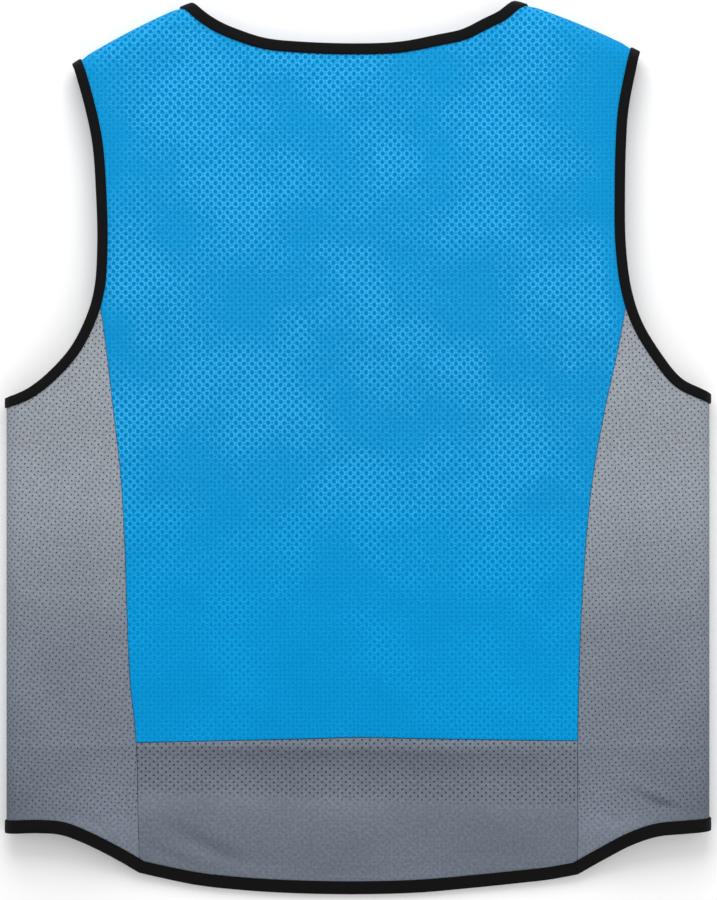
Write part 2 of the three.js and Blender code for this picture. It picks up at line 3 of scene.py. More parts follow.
import bpy
import numpy as np
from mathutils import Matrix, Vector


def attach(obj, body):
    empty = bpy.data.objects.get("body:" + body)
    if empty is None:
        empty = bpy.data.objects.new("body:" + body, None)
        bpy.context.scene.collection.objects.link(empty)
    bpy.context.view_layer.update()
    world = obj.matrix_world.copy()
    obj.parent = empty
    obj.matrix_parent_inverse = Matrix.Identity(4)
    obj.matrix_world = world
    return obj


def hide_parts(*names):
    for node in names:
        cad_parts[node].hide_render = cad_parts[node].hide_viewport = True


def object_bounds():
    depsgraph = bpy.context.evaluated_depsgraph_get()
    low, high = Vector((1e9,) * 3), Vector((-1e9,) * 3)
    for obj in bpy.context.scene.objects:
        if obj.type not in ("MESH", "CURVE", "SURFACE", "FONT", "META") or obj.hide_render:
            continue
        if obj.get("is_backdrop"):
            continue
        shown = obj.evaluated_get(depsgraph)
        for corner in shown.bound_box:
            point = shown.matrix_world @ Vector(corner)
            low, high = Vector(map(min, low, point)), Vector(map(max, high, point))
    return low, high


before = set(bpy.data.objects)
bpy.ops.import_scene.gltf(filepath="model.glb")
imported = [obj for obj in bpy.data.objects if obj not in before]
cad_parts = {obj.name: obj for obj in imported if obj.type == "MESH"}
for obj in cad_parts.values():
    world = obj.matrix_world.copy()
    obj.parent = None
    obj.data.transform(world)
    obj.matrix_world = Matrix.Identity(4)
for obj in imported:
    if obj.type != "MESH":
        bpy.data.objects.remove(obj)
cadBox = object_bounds()
print("frame loaded:", len(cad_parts), "nodes")

# all sizes below are millimetres in the vest's own sheet, x to the right and y from hem to neck
millimetre = 0.001

vest = {
    "width": 537.0,  # side fold to side fold
    "length": 681.7,  # highest shoulder point to the edge of the tail
    "foldRadius": 11.0,
    "crown": 4.0,
    "pad": 3.4,  # blue cloth
    "pressed": 1.8,  # blue cloth under the tape
    "taper": 7.0,
    "mesh": 1.8,  # grey cloth
    "seamGap": 0.3,
    "seamRound": 1.5,  # how far a sewn edge rolls over
    "sewnShare": 0.42,  # thickness left right at a seam
    "cell": 2.8,  # spacing of the cloth's vertices
    "frontNeckDepth": 96.0,
    "frontArmholeCut": 12.0,
    "frontSettle": 40.0,
    "shoulderArch": 0.0035,
    "tailOut": 0.6,
}
tapes = {
    "clearance": 0.7,
    "outerHalf": 2.4,
    "innerHalf": 1.05,
    "nose": 1.0,
    "neck": 7.7,
    "armhole": 7.1,
    "hem": 9.4,
    "pucker": 0.16,
    "puckerWaves": ((7.3, 0.4), (11.9, 2.2), (29.0, 4.1)),  # length in mm and phase
    "threadIn": 1.4,  # the stitches' lane, in from the tape's inner edge
    "threadSunk": 0.02,
    "cell": 2.5,
}

# outward share of half the width and share of the length from the top, left then right
shoulderRows = [(0.811, 0.070, 0.800, 0.056), (0.479, 0.002, 0.455, 0.000)]
armholeRows = [
    (0.811, 0.070, 0.800, 0.056),
    (0.770, 0.121, 0.764, 0.121),
    (0.750, 0.160, 0.757, 0.160),
    (0.740, 0.211, 0.754, 0.211),
    (0.736, 0.272, 0.756, 0.272),
    (0.745, 0.323, 0.772, 0.322),
    (0.770, 0.356, 0.801, 0.358),
    (0.818, 0.391, 0.850, 0.391),
    (0.902, 0.425, 0.913, 0.422),
    (0.959, 0.439, 0.964, 0.433),
    (1.000, 0.445, 1.000, 0.440),
]
seamTopRow = 5
sideSeamRows = [
    (0.731, 0.343, 0.760, 0.343),
    (0.714, 0.390, 0.737, 0.390),
    (0.694, 0.457, 0.700, 0.457),
    (0.674, 0.524, 0.669, 0.524),
    (0.663, 0.592, 0.649, 0.592),
    (0.654, 0.693, 0.632, 0.693),
    (0.646, 0.760, 0.626, 0.760),
    (0.629, 0.829, 0.623, 0.827),
]
neckRows = [
    (0.447, 0.010, 0.407, 0.011),
    (0.395, 0.024, 0.353, 0.022),
    (0.336, 0.034, 0.296, 0.033),
    (0.262, 0.043, 0.228, 0.039),
    (0.165, 0.047, 0.119, 0.047),
]
neckMiddleDown = 0.049
lowerSeamRows = [(0.393, 0.827, 0.404, 0.826), (0.165, 0.825, 0.233, 0.825)]
lowerSeamMiddleDown = 0.823
sideHemRows = [
    (1.000, 0.930, 1.000, 0.927),
    (0.905, 0.929, 0.922, 0.930),
    (0.842, 0.931, 0.848, 0.933),
    (0.785, 0.939, 0.780, 0.942),
    (0.706, 0.955, 0.706, 0.958),
    (0.623, 0.975, 0.626, 0.977),
]
tailRows = [
    (0.549, 0.982, 0.546, 0.983),
    (0.450, 0.990, 0.461, 0.987),
    (0.307, 0.996, 0.319, 0.993),
    (0.165, 0.999, 0.176, 0.998),
]
frontHemRows = [
    (0.957, 0.928, 0.957, 0.925),
    (0.900, 0.914, 0.900, 0.912),
    (0.850, 0.901, 0.850, 0.901),
    (0.791, 0.893, 0.791, 0.894),
    (0.623, 0.891, 0.626, 0.892),
]
frontHemMiddleDown = 0.894
frontNeckRows = [(0.985, 0.300), (0.920, 0.580), (0.770, 0.800), (0.500, 0.945), (0.0, 1.0)]
neckTurnRow = 3
yokeRow = {-1: 3, 1: 1}

# folds of the back: across, down, turn in degrees, along, wide (shares of the length), rise in mm
foldRows = [
    (0.00, 0.866, 0, 0.300, 0.024, -3.0),  # hollow below the blue panel
    (0.00, 0.8335, 0, 0.320, 0.0062, 2.0),  # rolled seam
    (-0.415, 0.948, -28, 0.040, 0.0085, -5.5),  # folds at the lower left
    (-0.470, 0.960, -24, 0.034, 0.0060, 2.2),
    (-0.555, 0.953, -26, 0.022, 0.0045, -2.6),
    (-0.745, 0.905, 20, 0.060, 0.0200, 1.6),
    (0.882, 0.903, -27, 0.032, 0.0065, -5.5),  # folds at the lower right
    (0.845, 0.888, -27, 0.036, 0.0080, 2.4),
    (0.765, 0.921, -22, 0.020, 0.0045, -2.6),
    (-0.88, 0.560, 74, 0.120, 0.016, 0.7),  # long soft creases of the side panels
    (-0.80, 0.500, 64, 0.090, 0.012, -0.6),
    (0.86, 0.620, -80, 0.150, 0.018, 0.6),
]
# low waves of the back: lengths across and up, phase, height in mm
waveRows = [
    (210.0, 165.0, 0.6, 0.45),
    (96.0, 140.0, 2.1, 0.3),
    (150.0, 74.0, 4.0, 0.25),
    (61.0, 88.0, 1.2, 0.14),
]

halfWidth = vest["width"] / 2
radius = vest["foldRadius"]
foldAxis = halfWidth - vest["mesh"] / 2 - radius
foldReach = radius * math.pi / 2
foldTip = foldAxis + foldReach
cadTapeHalf = 2.5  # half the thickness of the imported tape, which lies on the floor
middleHeight = cadTapeHalf + radius
hemBand = tapes["hem"] + tapes["clearance"]
padBand = max(tapes["neck"], tapes["armhole"]) + tapes["clearance"]
edgeStep, seamStep = 12, 6  # every so many points of a line are enough to measure a distance


def smooth(value):
    share = np.clip(value, 0.0, 1.0)
    return share * share * (3 - 2 * share)


def levelOf(down):
    return vest["length"] * (0.5 - down)


def shoulderAxis(x):
    x = np.asarray(x, float)
    axis = np.zeros_like(x)
    for start, inside in ((0, x < 0), (2, x >= 0)):
        (tipOut, tipDown), (neckOut, neckDown) = (row[start : start + 2] for row in shoulderRows)
        share = (tipOut * halfWidth - np.abs(x)) / ((tipOut - neckOut) * halfWidth)
        arch = vest["shoulderArch"] * vest["length"] * 4 * share * (1 - share)
        line = levelOf(tipDown) + (levelOf(neckDown) - levelOf(tipDown)) * share + arch
        axis = np.where(inside, line, axis)
    return axis - vest["pad"] / 2 - radius


def unroll(points):  # from a point as it is seen from above to its place in the flat pattern
    points = np.array(points, float)
    x, y = points[:, 0].copy(), points[:, 1].copy()
    past = np.abs(x) - foldAxis
    axis = shoulderAxis(x)
    turned = lambda reach: radius * np.arcsin(np.clip(reach / radius, 0, 1))
    points[:, 0] = np.where(past > 0, np.sign(x) * (foldAxis + turned(past)), x)
    points[:, 1] = np.where(y > axis, axis + turned(y - axis), y)
    return points


def sidePoints(rows, side):
    start = 0 if side < 0 else 2
    return unroll([(side * row[start] * halfWidth, levelOf(row[start + 1])) for row in rows])


def toRound(points, layer):  # the flat pattern measured round the side fold, back positive
    return np.column_stack([layer * (foldTip - np.abs(points[:, 0])), points[:, 1]])


def fromRound(points, side):
    return np.column_stack([side * (foldTip - np.abs(points[:, 0])), points[:, 1]])


def smoothLine(points, first=0, last=None, samples=60):  # centripetal spline through the rows
    points = np.asarray(points, float)
    last = len(points) - 1 if last is None else last
    ends = np.vstack([2 * points[0] - points[1], points, 2 * points[-1] - points[-2]])
    out = []
    for k in range(first, last):
        p0, p1, p2, p3 = ends[k : k + 4]
        d0, d1, d2 = (max(np.linalg.norm(b - a) ** 0.5, 1e-4) for a, b in ((p0, p1), (p1, p2), (p2, p3)))
        m1 = ((p1 - p0) / d0 - (p2 - p0) / (d0 + d1) + (p2 - p1) / d1) * d1
        m2 = ((p2 - p1) / d1 - (p3 - p1) / (d1 + d2) + (p3 - p2) / d2) * d1
        t = np.linspace(0, 1, samples, endpoint=False)[:, None]
        out.append(p1 + m1 * t + (3 * (p2 - p1) - 2 * m1 - m2) * t**2 + (2 * (p1 - p2) + m1 + m2) * t**3)
    return np.vstack([*out, points[last]])


def stations(length, cells, fineStart=False, fineEnd=False):  # fine steps where an edge is sewn
    fine = np.array([0.35, 0.8, 1.5])
    start = np.concatenate([[0.0], fine]) if fineStart else np.array([0.0])
    end = np.concatenate([length - fine[::-1], [length]]) if fineEnd else np.array([length])
    return np.concatenate([start[:-1], np.linspace(start[-1], end[0], cells + 1), end[1:]])


def cut(samples, cells, fineStart=False, fineEnd=False):
    steps = np.linalg.norm(np.diff(samples, axis=0), axis=1)
    travelled = np.concatenate([[0.0], np.cumsum(steps)])
    at = stations(travelled[-1], cells, fineStart, fineEnd)
    return np.column_stack([np.interp(at, travelled, samples[:, k]) for k in range(2)])


def lengthOf(samples):
    return np.linalg.norm(np.diff(samples, axis=0), axis=1).sum()


def joined(*lines):
    return np.vstack([line if k == 0 else line[1:] for k, line in enumerate(lines)])


def patch(bottom, top, left, right):  # a surface between four lines with common corners
    def shares(line):
        travelled = np.concatenate([[0.0], np.cumsum(np.linalg.norm(np.diff(line, axis=0), axis=1))])
        return travelled / travelled[-1]

    u = ((shares(bottom) + shares(top)) / 2)[None, :, None]
    v = ((shares(left) + shares(right)) / 2)[:, None, None]
    ruledUp = bottom[None] * (1 - v) + top[None] * v
    ruledAlong = left[:, None] * (1 - u) + right[:, None] * u
    corners = (bottom[0] * (1 - u) + bottom[-1] * u) * (1 - v) + (top[0] * (1 - u) + top[-1] * u) * v
    return ruledUp + ruledAlong - corners


# the lines of the pattern
def neckLine(layer):
    ends = [sidePoints([shoulderRows[1]], side)[0] for side in (-1, 1)]
    if layer > 0:
        left = np.vstack([ends[0], sidePoints(neckRows, -1)])
        right = np.vstack([ends[1], sidePoints(neckRows, 1)])
        return np.vstack([left, [0.0, levelOf(neckMiddleDown)], right[::-1]])
    reach = vest["frontNeckDepth"] - radius
    sides = []
    for x, y in ends:
        sides.append([(x * out, y - foldReach - down * reach) for out, down in frontNeckRows])
    return np.vstack([ends[0], sides[0], sides[1][-2::-1], ends[1]])


def armholeLine(side):  # from the back shoulder tip round the underarm to the front shoulder tip
    back = sidePoints(armholeRows, side)
    row = np.arange(len(back))
    front = back.copy()
    front[:, 0] -= side * vest["frontArmholeCut"] * np.sin(np.pi * np.minimum(1, row / seamTopRow))
    return np.vstack([toRound(back, 1), toRound(front[:-1][::-1], -1)])


armholes = {side: armholeLine(side) for side in (-1, 1)}
necks = {layer: neckLine(layer) for layer in (-1, 1)}
lastArmholeRow = len(armholes[1]) - 1
foldRow = lastArmholeRow // 2


def sideHemLine(side):  # from the back seam over the fold to the front seam
    back = toRound(sidePoints(sideHemRows, side)[::-1], 1)
    return np.vstack([back, toRound(sidePoints(frontHemRows, side), -1)])


def acrossLine(rows, middleDown, endRows):
    left = [sidePoints([endRows[-1]], -1)] + ([sidePoints(rows, -1)] if rows else [])
    right = [sidePoints([endRows[-1]], 1)] + ([sidePoints(rows, 1)] if rows else [])
    return smoothLine(np.vstack([*left, [[0.0, levelOf(middleDown)]], np.vstack(right)[::-1]]))


tailEdge = acrossLine(tailRows, 1.0, sideHemRows)
frontHemEdge = acrossLine([], frontHemMiddleDown, frontHemRows)
lowerSeam = acrossLine(lowerSeamRows, lowerSeamMiddleDown, sideSeamRows)


def sideSeam(side, layer):  # below and above the blue panel's corner, measured round the fold
    rows = toRound(sidePoints(sideSeamRows, side)[::-1], layer)
    top = armholes[side][seamTopRow if layer > 0 else lastArmholeRow - seamTopRow]
    hem = toRound(sidePoints((sideHemRows if layer > 0 else frontHemRows)[-1:], side), layer)
    points = np.vstack([hem, rows, top])
    return smoothLine(points, 0, 1), smoothLine(points, 1)


def tapedEdges(layer):
    edges = [smoothLine(necks[layer]), tailEdge if layer > 0 else frontHemEdge]
    turn = len(sideHemRows) - 1
    for side in (-1, 1):
        rows = (0, foldRow) if layer > 0 else (foldRow, lastArmholeRow)
        hemPoints = sideHemLine(side)
        hemRows = (0, turn) if layer > 0 else (turn, len(hemPoints) - 1)
        edges.append(fromRound(smoothLine(armholes[side], *rows), side))
        edges.append(fromRound(smoothLine(hemPoints, *hemRows), side))
    return [edge[::edgeStep] for edge in edges]


def distanceTo(lines, points):
    starts = np.vstack([line[:-1] for line in lines])
    runs = np.vstack([np.diff(line, axis=0) for line in lines])
    squares = np.maximum((runs**2).sum(1), 1e-9)
    nearest = np.empty(len(points))
    block = 4000  # points at a time, to spare memory
    for k in range(0, len(points), block):
        offset = points[k : k + block, None] - starts[None]
        share = np.clip((offset * runs).sum(2) / squares, 0, 1)
        nearest[k : k + block] = np.sqrt(((offset - share[..., None] * runs) ** 2).sum(2)).min(1)
    return nearest


edges = {layer: tapedEdges(layer) for layer in (-1, 1)}


def backRelief(places, x, y):
    down = 0.5 - y / vest["length"]
    wide = 1 - np.clip((x / halfWidth) ** 2, 0, 1)
    height = vest["crown"] * wide * smooth(down / 0.25) * smooth((0.93 - down) / 0.2)
    away = distanceTo(edges[1], places)
    free = smooth((away - 1.5 * hemBand) / hemBand)
    for across, rowDown, turn, along, thick, rise in foldRows:
        angle = math.radians(turn)
        dx, dy = x - across * halfWidth, y - levelOf(rowDown)
        alongFold = (dx * math.cos(angle) + dy * math.sin(angle)) / (along * vest["length"])
        acrossFold = (dy * math.cos(angle) - dx * math.sin(angle)) / (thick * vest["length"])
        height += free * rise * np.exp(-(alongFold**2) - acrossFold**2)
    for lengthX, lengthY, phase, rise in waveRows:
        bend = np.sin(x / lengthX * 2 * np.pi + 1.7 * np.sin(y / lengthY * 2 * np.pi + phase))
        height += free * rise * bend * np.cos(y / lengthY * 2 * np.pi - phase)
    drop = sideHemRows[0][1] - frontHemMiddleDown
    outward = (np.abs(x) / halfWidth - vest["tailOut"]) / (foldAxis / halfWidth - vest["tailOut"])
    hang = levelOf(frontHemMiddleDown + drop * smooth(outward))
    tailReach = vest["length"] * (1 - frontHemMiddleDown)
    return height - 2 * radius * smooth((hang - y) / tailReach)


def lift(places, layers):  # the middle of the cloth, in mm above the floor
    x0, y0 = places[:, 0], places[:, 1]
    pastFold = np.maximum(0, np.abs(x0) - foldAxis)
    pastShoulder = np.maximum(0, y0 - shoulderAxis(x0))
    foldTurn, shoulderTurn = pastFold / radius, pastShoulder / radius
    x = x0 + np.sign(x0) * (radius * np.sin(foldTurn) - pastFold)
    y = y0 + radius * np.sin(shoulderTurn) - pastShoulder
    level = np.cos(foldTurn) * np.cos(shoulderTurn)
    relief = np.zeros(len(places))
    back, front = layers > 0, layers < 0
    if back.any():
        relief[back] = backRelief(places[back], x[back], y[back])
    if front.any():
        sink = cadTapeHalf - vest["pad"] / 2
        settled = (distanceTo(edges[-1], places[front]) - 1.5 * hemBand) / vest["frontSettle"]
        relief[front] = -sink * smooth(settled)
    z = middleHeight + layers * radius * level + relief * np.maximum(0, level)
    return np.column_stack([x, y, z])


def slopes(places, layers, nudge=0.05):
    right, up = np.array([nudge, 0]), np.array([0, nudge])
    across = (lift(places + right, layers) - lift(places - right, layers)) / (2 * nudge)
    upward = (lift(places + up, layers) - lift(places - up, layers)) / (2 * nudge)
    normal = np.cross(across, upward) * layers[:, None]
    return across, upward, normal / np.linalg.norm(normal, axis=1)[:, None]


def toFrame(points):  # from millimetres to the frame's metres
    return np.array(points, float) * millimetre


def addObject(name, data):
    thing = bpy.data.objects.new(name, data)
    bpy.context.collection.objects.link(thing)
    return thing


def makeObject(name, vertices, faces, uvs, material, away=None):
    mesh = bpy.data.meshes.new(name)
    mesh.from_pydata(toFrame(vertices).tolist(), [], faces)
    layer = mesh.uv_layers.new(name="clothMap")
    loops = np.empty(len(mesh.loops), int)
    mesh.loops.foreach_get("vertex_index", loops)
    layer.data.foreach_set("uv", (np.asarray(uvs) * millimetre)[loops].ravel())
    if away is not None:
        attribute = mesh.attributes.new("armholeAway", "FLOAT", "POINT")
        attribute.data.foreach_set("value", np.asarray(away, float))
    mesh.polygons.foreach_set("use_smooth", np.ones(len(mesh.polygons), bool))
    mesh.materials.append(material)
    mesh.validate()
    return addObject(name, mesh)


def makeCloth(name, grids, side, layer, thicknessAt, material, turnUv=0.0):
    weld, weldShift = 0.02, 0.137  # points of two grids nearer than this become one vertex
    keys, places, cells = {}, [], []
    for grid in grids:
        index = np.empty(grid.shape[:2], int)
        for j, row in enumerate(grid):
            for i, point in enumerate(row):
                key = (round(point[0] / weld + weldShift), round(point[1] / weld + weldShift))
                if key not in keys:
                    keys[key] = len(places)
                    places.append(point)
                index[j, i] = keys[key]
        quads = np.stack([index[:-1, :-1], index[:-1, 1:], index[1:, 1:], index[1:, :-1]], axis=-1)
        cells.append(quads.reshape(-1, 4))
    pattern = np.array(places)
    cells = np.vstack(cells)
    if side:
        layers = np.where(pattern[:, 0] < 0, -1, 1)
        flat = fromRound(pattern, side)
    else:
        layers = np.full(len(pattern), layer)
        flat = pattern
    middle = lift(flat, layers)
    normal = slopes(flat, layers)[2]
    half = (thicknessAt(flat, layers) / 2)[:, None]
    vertices = np.vstack([middle + normal * half, middle - normal * half])
    count = len(pattern)
    a, b, c = (vertices[cells[0, k]] for k in range(3))
    if np.dot(np.cross(b - a, c - a), normal[cells[0, 0]]) < 0:
        cells = cells[:, ::-1]
    directed = {(int(q[k]), int(q[(k + 1) % 4])) for q in cells for k in range(4)}
    rim = [(s, r, r + count, s + count) for r, s in directed if (s, r) not in directed]
    faces = cells.tolist() + (cells[:, ::-1] + count).tolist() + sorted(rim)
    turn = math.radians(turnUv)
    uv = pattern @ np.array([[math.cos(turn), math.sin(turn)], [-math.sin(turn), math.cos(turn)]])
    armholeLines = [edges[layer or 1][k] for k in (2, 4)]
    away = distanceTo(armholeLines, flat)
    piece = makeObject(name, vertices, faces, np.vstack([uv, uv]), material, np.tile(away, 2))
    corner = pattern[cells]
    d1, d2 = corner[:, 2] - corner[:, 0], corner[:, 3] - corner[:, 1]
    area = np.abs(d1[:, 0] * d2[:, 1] - d1[:, 1] * d2[:, 0]).sum() / 2 * millimetre**2
    span = (pattern.max(0) - pattern.min(0)) * millimetre
    print(f"{name}: {len(faces)} faces, {area:.3f} m2 of cloth")
    return piece, tuple(span.tolist()), area


def makeTape(name, places, layers, width, material, seed):
    # places run round the edge with the cloth on their left
    middle = lift(places, layers)
    tangent = np.roll(middle, -1, axis=0) - np.roll(middle, 1, axis=0)
    tangent /= np.linalg.norm(tangent, axis=1)[:, None]
    across, upward, normal = slopes(places, layers)
    inward = np.cross(normal, tangent)
    inward /= np.linalg.norm(inward, axis=1)[:, None]
    a, b, c = (across**2).sum(1), (across * upward).sum(1), (upward**2).sum(1)
    p, q = (across * inward).sum(1), (upward * inward).sum(1)
    scale = a * c - b * b
    step = np.column_stack([(p * c - q * b) / scale, (q * a - p * b) / scale])
    outer, inner, nose = tapes["outerHalf"], tapes["innerHalf"], tapes["nose"]
    # the section's upper half from its inner edge to the nose, as depth and height
    top = [(width - 0.05, outer - 0.53), (width - 0.35, outer - 0.28), (width - 1.6, outer - 0.12)]
    top += [(width * 0.55, outer), (width * 0.2, outer), (-0.3, outer - 0.12)]
    top += [(-nose * 0.68, outer * 0.72)]
    hidden = [(width, inner), (width * 0.5, inner), (-0.6, inner)]
    section = top + [(-nose, 0.0)] + [(d, -h) for d, h in top[::-1]]
    section += [(d, -h) for d, h in hidden] + hidden[::-1]
    travelled = np.concatenate([[0.0], np.cumsum(np.linalg.norm(np.diff(middle, axis=0), axis=1))])
    total = travelled[-1] + np.linalg.norm(middle[0] - middle[-1])
    waves = np.zeros(len(places))
    for wave, phase in tapes["puckerWaves"]:
        waves += np.sin(travelled / total * 2 * np.pi * int(total / wave) + phase + seed) / 3
    rings, girth = [], [0.0]
    for k, (depth, height) in enumerate(section):
        if k:
            girth.append(girth[-1] + math.dist(section[k - 1], section[k]))
        visible = abs(height) > inner + 0.1
        sunk = np.sign(height) * (waves - 1) * tapes["pucker"] / 2 if visible else 0.0
        lifted = np.reshape((height + sunk) * np.ones(len(places)), (-1, 1))
        if depth > 0:
            under = places + step * depth
            rings.append(lift(under, layers) + slopes(under, layers)[2] * lifted)
        else:
            rings.append(middle + inward * depth + normal * lifted)
    size, count = len(section), len(places)
    vertices = np.stack(rings, axis=1).reshape(-1, 3)
    faces = []
    for i in range(count):
        here, there = i * size, (i + 1) % count * size
        for k in range(size):
            other = (k + 1) % size
            faces.append((here + k, there + k, there + other, here + other))
    uvs = np.column_stack([np.repeat(travelled, size), np.tile(girth, count)])
    piece = makeObject(name, vertices, faces, uvs, material)
    first = piece.data.polygons[size // 3]
    centre = toFrame(middle[:1])[0]
    if np.dot(np.array(first.normal), np.array(first.center) - centre) < 0:
        piece.data.flip_normals()
    under = places + step * (width - tapes["threadIn"])
    out = slopes(under, layers)[2]
    height = outer - tapes["threadSunk"]
    lanes = [(lift(under, layers) + out * sign * height, out * sign) for sign in (1, -1)]
    return piece, lanes


def layerLines(layer, cell):  # the fine lines of one layer of the vest
    neck = necks[layer]
    lastNeck = len(neck) - 1
    bottom = smoothLine(neck, neckTurnRow, lastNeck - neckTurnRow)
    lines = {"neck": cut(bottom, round(lengthOf(bottom) / cell)), "side": {}}
    rowOf = (lambda row: row) if layer > 0 else (lambda row: lastArmholeRow - row)
    counts = {}
    for side in (-1, 1):
        def stretch(low, high):
            first, last = sorted((rowOf(low), rowOf(high)))
            line = fromRound(smoothLine(armholes[side], first, last), side)
            return line[::-1] if layer > 0 else line

        lowSeam, highSeam = (fromRound(line, side) for line in sideSeam(side, layer))
        if side < 0:
            flank = smoothLine(neck, 0, neckTurnRow)[::-1]
        else:
            flank = smoothLine(neck, lastNeck - neckTurnRow)
        low, high = stretch(seamTopRow, yokeRow[layer]), stretch(yokeRow[layer], 0)
        counts = counts or {
            "lowSeam": round(lengthOf(lowSeam) / cell),
            "highSeam": round(lengthOf(highSeam) / cell),
            "low": round(lengthOf(low) / cell),
            "high": round(lengthOf(high) / cell),
            "shoulder": round(100 / cell),
        }
        tip, point = high[-1], flank[-1]
        x = np.linspace(tip[0], point[0], 120)
        shoulder = np.column_stack([x, shoulderAxis(x) + foldReach])
        yoke = smoothLine(np.vstack([low[-1], flank[0]]))
        lines["side"][side] = {
            "lowSeam": cut(lowSeam, counts["lowSeam"], False, True),
            "highSeam": cut(highSeam, counts["highSeam"], True, False),
            "low": cut(low, counts["low"]),
            "high": cut(high, counts["high"], False, True),
            "flank": cut(flank, counts["high"], False, True),
            "shoulder": cut(shoulder, counts["shoulder"], True, True),
            "yoke": cut(yoke, counts["shoulder"], True, True),
        }
    hem = tailEdge if layer > 0 else frontHemEdge
    lines["hem"] = cut(hem, round(lengthOf(hem) / cell), True, True)
    return lines


def sewn(grid, left=False, right=False, bottom=False, top=False, sewnRows=None):
    # sewn edges stand half the gap off their seam
    grid = grid.copy()
    rows = slice(0, sewnRows)
    shift = vest["seamGap"] / 2

    def draw(edge, inside):
        run = inside - edge
        return edge + run / np.maximum(np.linalg.norm(run, axis=-1, keepdims=True), 1e-6) * shift

    if left:
        grid[rows, 0] = draw(grid[rows, 0], grid[rows, 2])
    if right:
        grid[rows, -1] = draw(grid[rows, -1], grid[rows, -3])
    if bottom:
        grid[0] = draw(grid[0], grid[2])
    if top:
        grid[-1] = draw(grid[-1], grid[-3])
    return grid


def rollOver(seamLines, flat):  # the share of the thickness, which falls away towards a seam
    share = np.clip(distanceTo(seamLines, flat) / vest["seamRound"], 0, 1)
    return vest["sewnShare"] + (1 - vest["sewnShare"]) * np.sqrt(1 - (1 - share) ** 2)


def rolled(thickness, seamLines):
    return lambda flat, layers: thickness(flat, layers) * rollOver(seamLines, flat)


def padThickness(flat, layers):
    away = distanceTo(edges[int(layers[0])], flat)
    return vest["pressed"] + (vest["pad"] - vest["pressed"]) * smooth((away - padBand) / vest["taper"])


def meshThickness(flat, layers):
    return np.full(len(flat), vest["mesh"])


# materials
def newMaterial(name):
    material = bpy.data.materials.new(name)
    material.use_nodes = True
    tree = material.node_tree
    return material, tree, tree.nodes["Principled BSDF"]


def feed(tree, socket, value):
    if hasattr(value, "is_output"):
        tree.links.new(value, socket)
    else:
        socket.default_value = value


def put(tree, kind, inputs=None, **settings):
    node = tree.nodes.new(kind)
    for key, value in settings.items():
        setattr(node, key, value)
    for key, value in (inputs or {}).items():
        feed(tree, node.inputs[key], value)
    return node


def maths(tree, operation, a, b=0.0):
    return put(tree, "ShaderNodeMath", {0: a, 1: b}, operation=operation).outputs[0]


def times(tree, a, b):
    return maths(tree, "MULTIPLY", a, b)


def plus(tree, a, b):
    return maths(tree, "ADD", a, b)


def minus(tree, a, b):
    return maths(tree, "SUBTRACT", a, b)


def vectors(tree, operation, a, b=(0.0, 0.0, 0.0)):
    node = put(tree, "ShaderNodeVectorMath", {0: a, 1: b}, operation=operation)
    return node.outputs["Value"] if operation == "LENGTH" else node.outputs[0]


def remap(tree, value, low, high, start=0.0, end=1.0, kind="SMOOTHSTEP"):
    inputs = {"Value": value, "From Min": low, "From Max": high, "To Min": start, "To Max": end}
    return put(tree, "ShaderNodeMapRange", inputs, interpolation_type=kind).outputs["Result"]


def mixColour(tree, share, a, b, blend="MIX"):
    node = put(tree, "ShaderNodeMix", None, data_type="RGBA", blend_type=blend)
    for index, value in ((0, share), (6, a), (7, b)):  # the colour sockets of a Mix node
        feed(tree, node.inputs[index], value)
    return node.outputs[2]


def newGroup(name, inputs, outputs):
    group = bpy.data.node_groups.new(name, "ShaderNodeTree")
    for key, kind, value in inputs:
        socket = group.interface.new_socket(key, in_out="INPUT", socket_type=kind)
        if value is not None:
            socket.default_value = value
    for key in outputs:
        group.interface.new_socket(key, in_out="OUTPUT", socket_type="NodeSocketFloat")
    return group, group.nodes.new("NodeGroupInput").outputs, group.nodes.new("NodeGroupOutput").inputs


def makeDotGroup():  # staggered oval dots, in millimetres of the cloth
    float1 = "NodeSocketFloat"
    sockets = [("Vector", "NodeSocketVector", None), ("Pitch", float1, 6.2), ("Row", float1, 3.2)]
    sockets += [("Width", float1, 1.5), ("Height", float1, 1.3), ("Softness", float1, 0.3)]
    group, given, result = newGroup("staggeredDots", sockets, ["Dots", "Reach"])
    twoRows = times(group, given["Row"], 2.0)
    cell = put(group, "ShaderNodeCombineXYZ", {0: given["Pitch"], 1: twoRows, 2: 1.0})
    size = put(group, "ShaderNodeCombineXYZ", {0: given["Width"], 1: given["Height"], 2: 1.0})
    scaled = vectors(group, "DIVIDE", given["Vector"], cell.outputs[0])
    stretch = vectors(group, "DIVIDE", cell.outputs[0], size.outputs[0])
    reaches = []
    for shift in ((0.0, 0.0, 0.0), (0.5, 0.5, 0.0)):
        part = vectors(group, "FRACTION", vectors(group, "ADD", scaled, shift))
        centred = vectors(group, "SUBTRACT", part, (0.5, 0.5, 0.0))
        flat = vectors(group, "MULTIPLY", vectors(group, "MULTIPLY", centred, stretch), (1.0, 1.0, 0.0))
        reaches.append(vectors(group, "LENGTH", flat))
    reach = maths(group, "MINIMUM", *reaches)
    inside = minus(group, 1.0, given["Softness"])
    outside = plus(group, 1.0, given["Softness"])
    group.links.new(remap(group, reach, inside, outside, 1.0, 0.0), result["Dots"])
    group.links.new(reach, result["Reach"])
    return group


